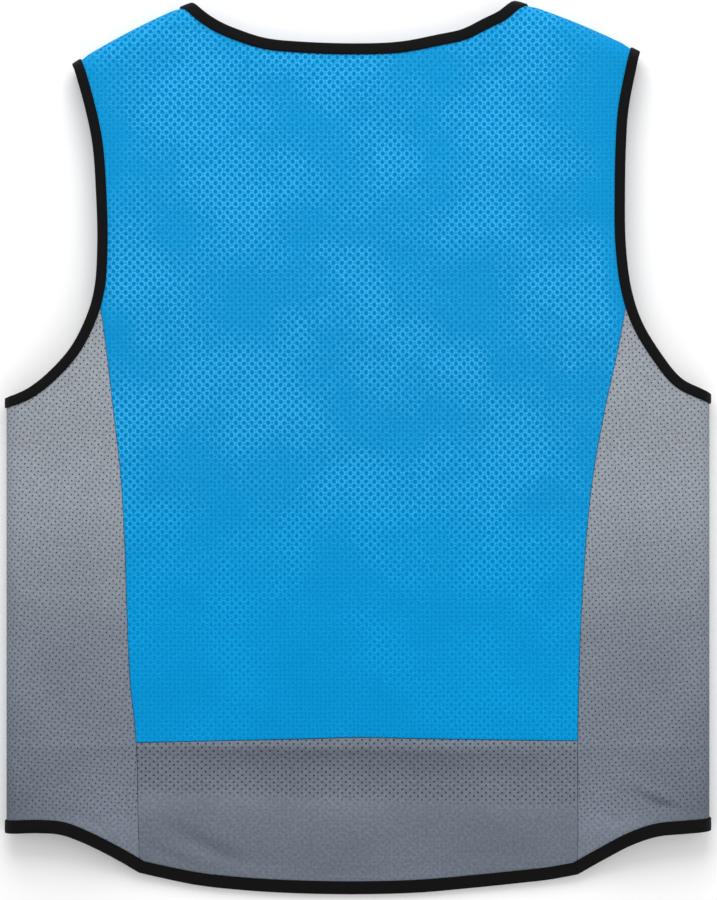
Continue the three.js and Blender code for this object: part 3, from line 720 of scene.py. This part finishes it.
def makeMottleGroup():  # cloudy patches, from 0 to 1
    sockets = [("Vector", "NodeSocketVector", None), ("Scale", "NodeSocketFloat", 20.0)]
    group, given, result = newGroup("clothMottle", sockets, ["Patches", "Fine"])
    vector, scale = given["Vector"], given["Scale"]
    cloud = {"Vector": vector, "Scale": scale, "Detail": 3.0, "Roughness": 0.5}
    cloud = put(group, "ShaderNodeTexNoise", cloud)
    grain = {"Vector": vector, "Scale": times(group, scale, 34.0), "Detail": 2.0}
    grain = put(group, "ShaderNodeTexNoise", grain)
    group.links.new(remap(group, cloud.outputs["Fac"], 0.3, 0.7), result["Patches"])
    group.links.new(grain.outputs["Fac"], result["Fine"])
    return group


def makeKnitGroup():  # fine ribs of a knit, as a height from 0 to 1
    sockets = [("Vector", "NodeSocketVector", None)]
    sockets += [("Rib", "NodeSocketFloat", 0.8), ("Loop", "NodeSocketFloat", 0.55)]
    group, given, result = newGroup("knitRibs", sockets, ["Height"])
    parts = put(group, "ShaderNodeSeparateXYZ", {0: given["Vector"]}).outputs
    turns = []
    for part, spacing in ((parts[0], given["Rib"]), (parts[1], given["Loop"])):
        turns.append(times(group, maths(group, "DIVIDE", part, spacing), 2 * math.pi))
    rib = maths(group, "SINE", turns[0])
    loops = maths(group, "SINE", plus(group, turns[1], times(group, rib, 1.3)))
    both = plus(group, times(group, rib, 0.3), times(group, loops, 0.2))
    group.links.new(plus(group, both, 0.5), result["Height"])
    return group


dotGroup, mottleGroup, knitGroup = makeDotGroup(), makeMottleGroup(), makeKnitGroup()


def clothPlace(tree):  # the cloth's own map, in metres and in millimetres
    uv = put(tree, "ShaderNodeUVMap", uv_map="clothMap").outputs[0]
    return uv, vectors(tree, "MULTIPLY", uv, (1000.0, 1000.0, 1000.0))


def drifted(tree, uv, place, scale, detail, reach):  # the map pulled about a little
    drift = put(tree, "ShaderNodeTexNoise", {"Vector": uv, "Scale": scale, "Detail": detail})
    centred = vectors(tree, "SUBTRACT", drift.outputs["Color"], (0.5, 0.5, 0.5))
    return vectors(tree, "ADD", place, vectors(tree, "MULTIPLY", centred, (reach, reach, 0.0)))


def shaded(tree, colour, shade, depth, low):  # times a shade, and times low where depth is 1: painted shade towards the bottom
    tone = put(tree, "ShaderNodeCombineColor", {0: shade, 1: shade, 2: shade}).outputs[0]
    colour = mixColour(tree, 1.0, colour, tone, "MULTIPLY")
    return mixColour(tree, depth, colour, mixColour(tree, 1.0, colour, low, "MULTIPLY"))


def useGroup(tree, group, **inputs):
    return put(tree, "ShaderNodeGroup", inputs, node_tree=group).outputs


def dress(tree, surface, colour, height, relief, strength, roughness, specular):
    bump = put(tree, "ShaderNodeBump", {"Height": height, "Distance": relief, "Strength": strength})
    tree.links.new(colour, surface.inputs["Base Color"])
    tree.links.new(bump.outputs[0], surface.inputs["Normal"])
    tree.links.new(roughness, surface.inputs["Roughness"])
    surface.inputs["Specular IOR Level"].default_value = specular


blueCloth = {
    "cloth": (0.0026, 0.265, 0.582, 1),
    "web": (0.033, 0.375, 0.72, 1),
    "dot": (0.0002, 0.181, 0.444, 1),
    "pinhole": (0.0, 0.137, 0.373, 1),
    "low": (0.1, 1.03, 1.06, 1),  # times this at the bottom, where the blue has hardly any red: painted shade of the lower part
    "pitch": 6.2,
    "row": 3.2,
    "dotWidth": 1.22,
    "dotHeight": 1.36,
    "roughness": 0.78,
    "relief": 0.0011,
}


def makeBlueCloth():
    s = blueCloth
    material, tree, surface = newMaterial("blueHoneycombCloth")
    uv, place = clothPlace(tree)
    mottle = useGroup(tree, mottleGroup, Vector=uv, Scale=13.0)
    warped = drifted(tree, uv, place, 90.0, 3.0, 1.9)
    lattice = {"Pitch": s["pitch"], "Row": s["row"]}
    sizes = {"Width": s["dotWidth"], "Height": s["dotHeight"], "Softness": 0.26}
    honeycomb = useGroup(tree, dotGroup, Vector=warped, **lattice, **sizes)
    dots = honeycomb["Dots"]
    web = remap(tree, honeycomb["Reach"], 1.12, 1.55)
    shifted = vectors(tree, "ADD", warped, (s["pitch"] / 2, 0.0, 0.0))
    pins = {"Width": 0.5, "Height": 0.5, "Softness": 0.5}
    pinholes = useGroup(tree, dotGroup, Vector=shifted, **lattice, **pins)["Dots"]
    up = put(tree, "ShaderNodeSeparateXYZ", {0: place}).outputs[1]
    # painted light and shade: the webs are lighter towards the top, so the blue darkens towards the
    # bottom
    high = remap(tree, up, -210.0, 40.0, 0.3, 1.0)
    patches = remap(tree, mottle["Patches"], 0.1, 0.9, 0.22, 1.0, "LINEAR")
    speckle = remap(tree, mottle["Fine"], 0.3, 0.7, 0.35, 1.45)
    away = put(tree, "ShaderNodeAttribute", attribute_name="armholeAway").outputs["Fac"]
    reached = plus(tree, away, remap(tree, mottle["Patches"], 0.0, 1.0, -14.0, 10.0, "LINEAR"))
    inward = remap(tree, reached, 3.0, 30.0, 0.22, 1.0)
    contrast = times(tree, times(tree, high, inward), patches)
    webs = times(tree, web, times(tree, contrast, speckle))
    colour = mixColour(tree, webs, s["cloth"], s["web"])
    spots = times(tree, dots, remap(tree, contrast, 0.0, 0.7, 0.35, 1.0))
    colour = mixColour(tree, spots, colour, s["dot"])
    colour = mixColour(tree, times(tree, pinholes, 0.75), colour, s["pinhole"])
    shade = remap(tree, mottle["Patches"], 0.0, 1.0, 0.965, 1.035)
    grain = remap(tree, mottle["Fine"], 0.3, 0.7, 0.955, 1.045)
    # painted shade: the low colour is mixed in towards the bottom
    depth = remap(tree, up, -190.0, 60.0, 1.0, 0.0)
    colour = shaded(tree, colour, times(tree, shade, grain), depth, s["low"])
    relief = minus(tree, web, times(tree, dots, 0.5))
    relief = times(tree, relief, contrast)
    relief = minus(tree, relief, times(tree, pinholes, 0.5))
    relief = plus(tree, relief, times(tree, mottle["Fine"], 0.35))
    roughness = remap(tree, dots, 0.0, 1.0, s["roughness"], 0.88)
    dress(tree, surface, colour, relief, s["relief"], 0.4, roughness, 0.06)
    return material


greyMesh = {
    "yarn": (0.3206, 0.3512, 0.3903, 1),
    # painted shade: the grey is multiplied by this towards the bottom
    "low": (0.58, 0.61, 0.67, 1),
    # painted shade: holes, dark with the shaded inside of the vest behind them
    "hole": (0.03, 0.035, 0.045, 1),
    "lit": (0.15, 0.17, 0.21, 1),  # painted light: holes with only the lit floor behind them
    "side": {"Pitch": 5.25, "Row": 2.63},
    "band": {"Pitch": 6.1, "Row": 2.68},
    "sideHem": (-283.0, -268.0),  # heights where the front hem ends behind the cloth
    "bandHem": (-272.0, -263.0),
    "hemSlant": 0.032,  # the hidden front hem lies a little askew
    # painted shade: the band darker above the hidden front hem
    "hemStep": (-268.0, -260.0),
    "seamLine": (-230.0, -225.0),  # painted highlight on the lit edge of the lower seam
    "underSeam": (-227.0, -232.0, -256.0),  # painted shade below it: starts, is full, ends
    "underSeamEnds": (160.0, 115.0),
    "foldCorner": (85.0, 8.0, -205.0, -280.0),  # painted shade at the fold's lower end: from the side fold, then the height
    # painted light beside the foot of the side seam: across, then the height
    "seamFoot": (55.0, 104.0, -250.0, -290.0),
    "sideHole": 0.6,
    "bandHole": 0.76,
    "relief": 0.0006,
}


def makeGreyMesh(name, kind, paintedLightAndShade=False):
    s = greyMesh
    material, tree, surface = newMaterial(name)
    uv, place = clothPlace(tree)
    mottle = useGroup(tree, mottleGroup, Vector=uv, Scale=12.0)
    warped = drifted(tree, uv, place, 70.0, 2.0, 1.5)
    size = s[kind + "Hole"]
    sizes = {"Width": size, "Height": size, "Softness": 0.36}
    holes = useGroup(tree, dotGroup, Vector=warped, **s[kind], **sizes)["Dots"]
    knit = useGroup(tree, knitGroup, Vector=place)["Height"]
    across, up = put(tree, "ShaderNodeSeparateXYZ", {0: place}).outputs[:2]
    yarn = mixColour(tree, remap(tree, knit, 0.0, 1.0, 0.2, 0.0), s["yarn"], s["hole"])
    cloud = remap(tree, mottle["Patches"], 0.0, 1.0, 0.95, 1.05)
    shade = times(tree, cloud, remap(tree, mottle["Fine"], 0.3, 0.7, 0.87, 1.13))
    apart = maths(tree, "ABSOLUTE", across)
    if paintedLightAndShade and kind == "band":
        # painted highlight along the lower seam
        shade = times(tree, shade, remap(tree, up, *s["seamLine"], 1.0, 1.08))
        up = plus(tree, up, times(tree, across, s["hemSlant"]))
        starts, full, ends = s["underSeam"]
        # painted shade in the hollow below the lower seam
        hollow = times(tree, remap(tree, up, starts, full), remap(tree, up, ends, full, 0.25, 1.0))
        hollow = times(tree, hollow, remap(tree, apart, *s["underSeamEnds"], 0.15, 1.0))
        shade = times(tree, shade, remap(tree, hollow, 0.0, 1.0, 1.02, 0.91))
        # painted shade: darker above the hidden front hem
        shade = times(tree, shade, remap(tree, up, *s["hemStep"], 0.98, 0.92))
    if kind == "side":
        # painted shade where the cloth turns away from the light at the fold's lower end, and painted
        # light where it turns towards it beside the seam
        corner, foot = s["foldCorner"], s["seamFoot"]
        dark = times(tree, remap(tree, apart, *corner[:2]), remap(tree, up, *corner[2:]))
        lit = times(tree, remap(tree, across, *foot[:2]), remap(tree, up, *foot[2:]))
        shade = times(tree, shade, remap(tree, dark, 0.0, 1.0, 1.0, 0.76))
        shade = times(tree, shade, remap(tree, lit, 0.0, 1.0, 1.0, 1.24))
    # painted shade: darker towards the bottom
    yarn = shaded(tree, yarn, shade, remap(tree, up, -230.0, 60.0, 1.0, 0.0), s["low"])
    hole = s["hole"]
    # painted light and shade: holes dark above the hidden front hem, lighter below it
    if paintedLightAndShade:
        hole = mixColour(tree, remap(tree, up, *s[kind + "Hem"], 1.0, 0.0), hole, s["lit"])
    depths = times(tree, holes, remap(tree, mottle["Fine"], 0.3, 0.7, 0.7, 1.1))
    colour = mixColour(tree, depths, yarn, hole)
    relief = minus(tree, times(tree, knit, 0.35), holes)
    roughness = remap(tree, knit, 0.0, 1.0, 0.88, 0.78)
    dress(tree, surface, colour, relief, s["relief"], 0.5, roughness, 0.08)
    return material


blackTape = {
    "yarn": (0.0022, 0.0022, 0.0026, 1),
    "worn": (0.006, 0.006, 0.007, 1),
    "thread": (0.004, 0.004, 0.005, 1),
    "wornThread": (0.010, 0.010, 0.012, 1),
    "rib": 0.7,
    "relief": 0.00035,
}


def makeBlackTape(name, yarn, worn):
    s = blackTape
    material, tree, surface = newMaterial(name)
    uv, place = clothPlace(tree)
    mottle = useGroup(tree, mottleGroup, Vector=uv, Scale=30.0)
    knit = useGroup(tree, knitGroup, Vector=place, Rib=s["rib"], Loop=0.5)["Height"]
    colour = mixColour(tree, times(tree, knit, mottle["Patches"]), yarn, worn)
    height = plus(tree, knit, times(tree, mottle["Fine"], 0.5))
    roughness = remap(tree, mottle["Patches"], 0.0, 1.0, 0.62, 0.78)
    dress(tree, surface, colour, height, s["relief"], 0.6, roughness, 0.1)
    return material


blue = makeBlueCloth()
grey = makeGreyMesh("greyMeshSides", "side", paintedLightAndShade=True)
greyBand = makeGreyMesh("greyMeshBand", "band")
# the tail's copy of the band material, with painted light and shade
greyTail = makeGreyMesh("greyMeshTail", "band", paintedLightAndShade=True)
black = makeBlackTape("blackBindingTape", blackTape["yarn"], blackTape["worn"])
thread = makeBlackTape("blackThread", blackTape["thread"], blackTape["wornThread"])
print("materials made")

# the camera stands straight above the vest, as in the photograph
camera = {"lens": 200.0, "sensor": 36.0, "pixel": 0.7640, "rows": 900, "look": (0.4, -1.4)}


def makeCamera():
    data = bpy.data.cameras.new("camera")
    data.lens, data.sensor_width = camera["lens"], camera["sensor"]
    thing = addObject("camera", data)
    height = camera["rows"] * camera["pixel"] * camera["lens"] / camera["sensor"]
    x, y = camera["look"]
    thing.location = (x * millimetre, y * millimetre, (height + middleHeight) * millimetre)
    data.clip_start = 0.05
    bpy.context.scene.camera = thing


makeCamera()

lines = {layer: layerLines(layer, vest["cell"]) for layer in (-1, 1)}


def seamLinesOf(layer, *names):  # the lower seam and the named ones at both sides
    found = [lines[layer]["side"][side][name] for side in (-1, 1) for name in names]
    return found + [lowerSeam[::seamStep]]


def makeBluePanel(name, layer):
    left, right = lines[layer]["side"][-1], lines[layer]["side"][1]
    top = joined(left["yoke"], lines[layer]["neck"], right["yoke"][::-1])
    bottom = cut(lowerSeam, len(top) - 7, True, True)
    main = patch(bottom, top, *(joined(part["highSeam"], part["low"]) for part in (left, right)))
    main = sewn(main, left=True, right=True, sewnRows=len(left["highSeam"]))
    main = sewn(main, bottom=True)
    strapLines = ("yoke", "shoulder", "high", "flank")
    straps = [sewn(patch(*(part[k] for k in strapLines)), top=True) for part in (left, right)]
    thickness = rolled(padThickness, seamLinesOf(layer, "highSeam", "shoulder"))
    grids = [main, straps[0], straps[1][:, ::-1]]
    return makeCloth(name, grids, 0, layer, thickness, blue)


def makeGreyPanel(name, layer, material):
    left, right = lines[layer]["side"][-1], lines[layer]["side"][1]
    top = cut(lowerSeam, len(lines[layer]["hem"]) - 7, True, True)
    grid = patch(lines[layer]["hem"], top, left["lowSeam"], right["lowSeam"])
    grid = sewn(grid, left=True, right=True, top=True)
    thickness = rolled(meshThickness, seamLinesOf(layer, "lowSeam"))
    return makeCloth(name, [grid], 0, layer, thickness, material)


def roundSide(rows, first, turn, last):
    toFold, fromFold = smoothLine(rows, first, turn), smoothLine(rows, turn, last)
    count = round(foldTip * 0.42 / vest["cell"])  # a side panel is 0.42 of the way to the middle
    return joined(cut(toFold, count, True, False), cut(fromFold, count, False, True))


sideEdges = {}
for side in (-1, 1):
    hemPoints = sideHemLine(side)
    hemTurn = len(sideHemRows) - 1
    sideEdges[side] = {
        "hem": roundSide(hemPoints, 0, hemTurn, len(hemPoints) - 1),
        "armhole": roundSide(armholes[side], seamTopRow, foldRow, lastArmholeRow - seamTopRow),
    }


def makeSidePanel(name, side, turnUv):
    counts = [len(lines[1]["side"][side][name]) - 4 for name in ("lowSeam", "highSeam")]
    seams = []
    for layer in (1, -1):
        low, high = sideSeam(side, layer)
        seams.append(joined(cut(low, counts[0], False, True), cut(high, counts[1], True, False)))
    grid = patch(sideEdges[side]["hem"], sideEdges[side]["armhole"], *seams)
    grid = sewn(grid, left=True, right=True)

    def thickness(flat, layers):
        full = np.full(len(flat), vest["mesh"])
        for layer in (1, -1):
            here = layers == layer
            seam = [fromRound(line, side)[::seamStep] for line in sideSeam(side, layer)]
            full[here] *= rollOver(seam, flat[here])
        return full

    return makeCloth(name, [grid], side, 0, thickness, grey, turnUv)


backPanel = makeBluePanel("backPanel", 1)
frontPanel = makeBluePanel("frontPanel", -1)
lowerBackPanel = makeGreyPanel("lowerBackPanel", 1, greyTail)
lowerFrontPanel = makeGreyPanel("lowerFrontPanel", -1, greyBand)
leftPanel = makeSidePanel("sidePanelLeft", -1, 4.0)
rightPanel = makeSidePanel("sidePanelRight", 1, 3.5)


# tapes: closed loops of places and layers along the bound edges
def edgeLoop(parts):
    places = np.vstack([points[:-1] for points, _ in parts])
    layers = [np.broadcast_to(sign, len(points))[:-1] for points, sign in parts]
    return places, np.concatenate(layers)


def fineCut(samples):
    return cut(samples, max(2, round(lengthOf(samples) / tapes["cell"])))


def neckLoop():
    back, front = fineCut(smoothLine(necks[1])), fineCut(smoothLine(necks[-1]))
    return edgeLoop([(back[::-1], 1), (front, -1)])


def armholeLoop(side):
    loop = fineCut(smoothLine(armholes[side]))
    places, layers = fromRound(loop, side), np.where(loop[:, 0] < 0, -1, 1)
    places, layers = places[:-1], layers[:-1]
    steps, passes = 6, 4
    reach = np.arange(-steps, steps + 1)
    for _ in range(passes):  # the tape can't turn as sharply over the shoulder as the cloth
        x = places[:, 0].copy()
        places[reach, 0] = (x[reach - 1] + 2 * x[reach] + x[reach + 1]) / 4
    return (places, layers) if side < 0 else (places[::-1], layers[::-1])


def hemLoop():
    right, left = (fineCut(smoothLine(sideHemLine(side))) for side in (1, -1))
    parts = [(fineCut(tailEdge), 1)]
    parts.append((fromRound(right, 1), np.where(right[:, 0] < 0, -1, 1)))
    parts.append((fineCut(frontHemEdge)[::-1], -1))
    parts.append((fromRound(left, -1)[::-1], np.where(left[:, 0] < 0, -1, 1)[::-1]))
    return edgeLoop(parts)


neckTape = makeTape("neckBinding", *neckLoop(), tapes["neck"], black, 0.3)
armTapes = {}
for side, name in ((-1, "armholeBindingLeft"), (1, "armholeBindingRight")):
    armTapes[side] = makeTape(name, *armholeLoop(side), tapes["armhole"], black, 1.1 + side)
hemTape = makeTape("hemBinding", *hemLoop(), tapes["hem"], black, 2.7)
print("tapes made")

# stitches along the inner edge of each tape, made by Geometry Nodes
stitch = {"pitch": 0.0031, "length": 0.0022, "radius": 0.00026}


def makeStitchTree():
    tree = bpy.data.node_groups.new("tapeStitches", "GeometryNodeTree")
    face = tree.interface
    face.new_socket("Geometry", in_out="INPUT", socket_type="NodeSocketGeometry")
    for name in ("Pitch", "Length", "Radius"):
        face.new_socket(name, in_out="INPUT", socket_type="NodeSocketFloat")
    face.new_socket("Thread", in_out="INPUT", socket_type="NodeSocketMaterial")
    face.new_socket("Geometry", in_out="OUTPUT", socket_type="NodeSocketGeometry")
    given, result = tree.nodes.new("NodeGroupInput").outputs, tree.nodes.new("NodeGroupOutput").inputs
    curve = put(tree, "GeometryNodeMeshToCurve", {0: given["Geometry"]}).outputs[0]
    spaced = {"Curve": curve, "Length": given["Pitch"]}
    spaced = put(tree, "GeometryNodeResampleCurve", spaced, mode="LENGTH")
    out = put(tree, "GeometryNodeInputNamedAttribute", {"Name": "clothNormal"}, data_type="FLOAT_VECTOR")
    tangent = put(tree, "GeometryNodeInputTangent").outputs[0]
    along = put(tree, "FunctionNodeAlignRotationToVector", {"Vector": tangent}, axis="Z")
    turned = {"Rotation": along.outputs[0], "Vector": out.outputs[0]}
    turned = put(tree, "FunctionNodeAlignRotationToVector", turned, axis="X", pivot_axis="Z")
    ball = put(tree, "GeometryNodeMeshUVSphere", {"Segments": 6, "Rings": 4, "Radius": 1.0}).outputs[0]
    half = put(tree, "ShaderNodeMath", {0: given["Length"], 1: 0.5}, operation="MULTIPLY").outputs[0]
    thick = given["Radius"]
    size = put(tree, "ShaderNodeCombineXYZ", {0: thick, 1: thick, 2: half}).outputs[0]
    placed = {"Points": spaced.outputs[0], "Instance": ball}
    placed.update({"Rotation": turned.outputs[0], "Scale": size})
    placed = put(tree, "GeometryNodeInstanceOnPoints", placed)
    real = put(tree, "GeometryNodeRealizeInstances", {0: placed.outputs[0]}).outputs[0]
    smoothed = put(tree, "GeometryNodeSetShadeSmooth", {0: real}).outputs[0]
    painted = put(tree, "GeometryNodeSetMaterial", {"Geometry": smoothed, "Material": given["Thread"]})
    tree.links.new(painted.outputs[0], result[0])
    return tree


stitchTree = makeStitchTree()


def makeStitches(name, lanes):
    places, normals, edgePairs = [], [], []
    for points, normal in lanes:
        start = len(places)
        count = len(points)
        places += toFrame(points).tolist()
        normals += normal.tolist()
        edgePairs += [(start + k, start + (k + 1) % count) for k in range(count)]
    mesh = bpy.data.meshes.new(name)
    mesh.from_pydata(places, edgePairs, [])
    attribute = mesh.attributes.new("clothNormal", "FLOAT_VECTOR", "POINT")
    attribute.data.foreach_set("vector", np.array(normals).ravel())
    source = addObject(name + "Path", mesh)
    modifier = source.modifiers.new("stitches", "NODES")
    modifier.node_group = stitchTree
    wanted = {"Pitch": stitch["pitch"], "Length": stitch["length"], "Radius": stitch["radius"]}
    wanted["Thread"] = thread
    for item in stitchTree.interface.items_tree:
        if item.in_out == "INPUT" and item.name in wanted:
            modifier[item.identifier] = wanted[item.name]
    bpy.context.view_layer.update()
    evaluated = source.evaluated_get(bpy.context.evaluated_depsgraph_get())
    result = bpy.data.meshes.new_from_object(evaluated)
    result.name = name
    bpy.data.objects.remove(source)
    print(name, len(result.polygons), "faces")
    return addObject(name, result)


neckStitches = makeStitches("neckStitches", neckTape[1])
armStitches = {}
for side, name in ((-1, "armholeStitchesLeft"), (1, "armholeStitchesRight")):
    armStitches[side] = makeStitches(name, armTapes[side][1])
hemStitches = makeStitches("hemStitches", hemTape[1])

# what each piece stands for and how it rides
pieces = [
    (backPanel, "back_panel", "blue_cloth", ["frontPanel"], [neckTape[0], neckStitches]),
    (frontPanel, "front_panel", "blue_cloth", [], []),
    (lowerBackPanel, "lower_back_panel", "grey_mesh", ["lowerFrontPanel"], [hemTape[0], hemStitches]),
    (lowerFrontPanel, "lower_front_panel", "grey_mesh", [], []),
    (leftPanel, "side_panel_left", "grey_mesh", [], [armTapes[-1][0], armStitches[-1]]),
    (rightPanel, "side_panel_right", "grey_mesh", [], [armTapes[1][0], armStitches[1]]),
]
for (piece, flat, area), node, slot, under, on in pieces:
    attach(piece, "root")
    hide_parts(node)
boundEdges = [
    (neckTape[0], neckStitches, "neck_binding"),
    (armTapes[-1][0], armStitches[-1], "armhole_binding_left"),
    (armTapes[1][0], armStitches[1], "armhole_binding_right"),
    (hemTape[0], hemStitches, "hem_binding"),
]
for piece, stitches, node in boundEdges:
    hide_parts(node)
    for part in (piece, stitches):
        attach(part, "root")


# a pale floor and plain soft light; each lamp: name, place, power, size
studio = {
    "floor": (0.98, 0.98, 0.98, 1),
    "floorHalf": 4.0,
    "floorLevel": -0.0004,  # just below the front panel, so that the two don't share a plane
    "world": 0.72,
    "lamps": (("key", (-0.1, 1.5, 1.4), 26.0, 1.5), ("fill", (1.3, -0.6, 1.7), 5.0, 1.6)),
}


def makeStage():
    half, level = studio["floorHalf"], studio["floorLevel"]
    mesh = bpy.data.meshes.new("floor")
    corners = [(x * half, y * half, level) for x, y in ((-1, -1), (1, -1), (1, 1), (-1, 1))]
    mesh.from_pydata(corners, [], [(0, 1, 2, 3)])
    material, _, surface = newMaterial("paleFloor")
    surface.inputs["Base Color"].default_value = studio["floor"]
    surface.inputs["Roughness"].default_value = 0.9
    surface.inputs["Specular IOR Level"].default_value = 0.1
    mesh.materials.append(material)
    addObject("floor", mesh)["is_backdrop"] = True
    world = bpy.data.worlds.new("studioWorld")
    world.use_nodes = True
    sky = world.node_tree.nodes["Background"].inputs
    sky["Color"].default_value = (1, 1, 1, 1)
    sky["Strength"].default_value = studio["world"]
    bpy.context.scene.world = world
    for name, place, energy, width in studio["lamps"]:
        light = bpy.data.lights.new(name, "AREA")
        light.energy, light.size = energy, width
        lamp = addObject(name, light)
        lamp.location = place
        away = np.array(place) / np.linalg.norm(place)
        lamp.rotation_euler = (math.acos(away[2]), 0.0, math.atan2(away[0], -away[1]))
    bpy.context.scene.view_settings.view_transform = "Standard"


makeStage()

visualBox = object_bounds()
boxes = {"cad": cadBox, "visual": visualBox}
boxes = {key: [[float(v) for v in corner] for corner in box] for key, box in boxes.items()}
print("cad box", boxes["cad"])
print("visual box", boxes["visual"])
